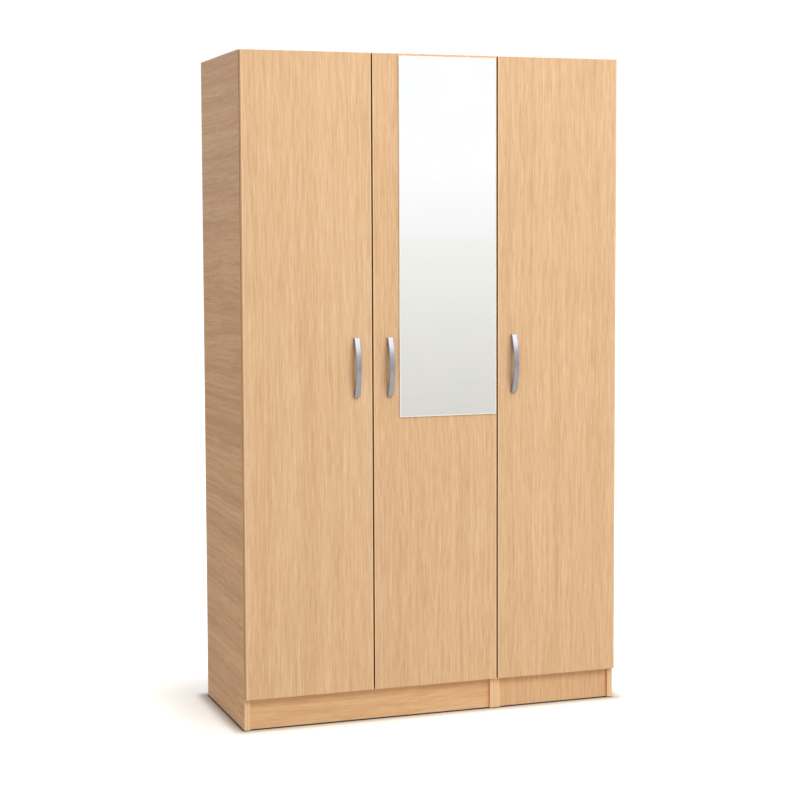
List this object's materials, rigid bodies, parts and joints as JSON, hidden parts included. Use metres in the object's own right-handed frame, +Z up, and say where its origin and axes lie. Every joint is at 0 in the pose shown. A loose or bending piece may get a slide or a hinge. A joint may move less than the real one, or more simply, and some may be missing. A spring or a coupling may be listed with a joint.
{
  "type": "wardrobe with doors",
  "caption": "Free-standing oak-effect wardrobe with hinged full-overlay doors, a tall mirror, bow handles, a plinth, hanging space and shelves.",
  "frame": {"origin": "on the floor under the middle of the whole box, handles included", "axes": "+X across the front to the right, +Y from the doors to the back, +Z up"},
  "size_m": [1.077, 0.465, 1.8],
  "materials": {
    "oak_board": "light oak melamine foil, horizontal or vertical grain, low sheen",
    "oak_door": "light oak melamine foil, vertical streaky grain, low sheen",
    "hardboard": "lacquered thin hardboard",
    "white_plastic": "moulded white plastic",
    "clear_plastic": "soft translucent bumper",
    "rail_chrome": "bright chromed tube",
    "nickel_steel": "nickel-plated pressed steel",
    "zinc_screw": "bright zinc-plated steel",
    "dowel_beech": "plain beech",
    "brown_plastic": "moulded brown plastic",
    "mirror_glass": "silvered float glass with a polished arris",
    "foam_tape": "white foam mounting tape",
    "satin_nickel": "satin nickel with fine cross brushing"
  },
  "bodies": {
    "carcass": {"left_side_panel": "oak_board", "wide_right_panel": "oak_board", "narrow_left_panel": "oak_board", "right_side_panel": "oak_board", "wide_top_panel": "oak_board", "wide_bottom_panel": "oak_board", "narrow_top_panel": "oak_board", "narrow_bottom_panel": "oak_board", "wide_plinth": "oak_board", "narrow_plinth": "oak_board", "hat_shelf": "oak_board", "narrow_fixed_shelf": "oak_board", "narrow_lower_shelf": "oak_board", "narrow_upper_shelf": "oak_board", "wide_back_left": "hardboard", "wide_back_right": "hardboard", "narrow_back": "hardboard", "back_joint_strip": "white_plastic", "floor_glides": "white_plastic", "door_bumpers": "clear_plastic", "hanging_rail": "rail_chrome", "rail_sockets": "nickel_steel", "shelf_pins": "nickel_steel", "hinge_plates": "nickel_steel", "hinge_arms": "nickel_steel", "hinge_arm_screws": "nickel_steel", "hinge_arm_pins": "nickel_steel", "wall_brackets": "nickel_steel", "joining_sleeves": "nickel_steel", "joining_bolts": "nickel_steel", "board_screws": "zinc_screw", "back_nails": "zinc_screw", "cam_bolts": "zinc_screw", "cam_locks": "zinc_screw", "wood_dowels": "dowel_beech", "plinth_blocks": "brown_plastic"},
    "left_links": {"left_hinge_links": "nickel_steel"},
    "left_leaf": {"left_door": "oak_door", "left_handle": "satin_nickel", "left_handle_screws": "zinc_screw", "left_hinge_cups": "nickel_steel", "left_cup_pins": "nickel_steel", "left_cup_screws": "zinc_screw"},
    "middle_links": {"middle_hinge_links": "nickel_steel"},
    "middle_leaf": {"middle_door": "oak_door", "middle_handle": "satin_nickel", "middle_handle_screws": "zinc_screw", "middle_hinge_cups": "nickel_steel", "middle_cup_pins": "nickel_steel", "middle_cup_screws": "zinc_screw", "mirror": "mirror_glass", "mirror_tape": "foam_tape"},
    "right_links": {"right_hinge_links": "nickel_steel"},
    "right_leaf": {"right_door": "oak_door", "right_handle": "satin_nickel", "right_handle_screws": "zinc_screw", "right_hinge_cups": "nickel_steel", "right_cup_pins": "nickel_steel", "right_cup_screws": "zinc_screw"}
  },
  "joints": [
    {"name": "left_link_turn", "type": "hinge", "parent": "carcass", "child": "left_links", "pos_m": [-0.5031, -0.19823, 0.9435], "axis": [0, 0, 1], "range_deg": [0, 31]},
    {"name": "left_door_swing", "type": "hinge", "parent": "left_links", "child": "left_leaf", "pos_m": [-0.5245, -0.197, 0.9435], "axis": [0, 0, -1], "range_deg": [0, 126]},
    {"name": "middle_link_turn", "type": "hinge", "parent": "carcass", "child": "middle_links", "pos_m": [0.1441, -0.19823, 0.9435], "axis": [0, 0, -1], "range_deg": [0, 31]},
    {"name": "middle_door_swing", "type": "hinge", "parent": "middle_links", "child": "middle_leaf", "pos_m": [0.1655, -0.197, 0.9435], "axis": [0, 0, 1], "range_deg": [0, 126]},
    {"name": "right_link_turn", "type": "hinge", "parent": "carcass", "child": "right_links", "pos_m": [0.5031, -0.19823, 0.9435], "axis": [0, 0, -1], "range_deg": [0, 31]},
    {"name": "right_door_swing", "type": "hinge", "parent": "right_links", "child": "right_leaf", "pos_m": [0.5245, -0.197, 0.9435], "axis": [0, 0, 1], "range_deg": [0, 126]}
  ],
  "couplings": [
    {"joint": "left_link_turn", "follows": "left_door_swing", "ratio": 0.246},
    {"joint": "middle_link_turn", "follows": "middle_door_swing", "ratio": 0.246},
    {"joint": "right_link_turn", "follows": "right_door_swing", "ratio": 0.246}
  ]
}
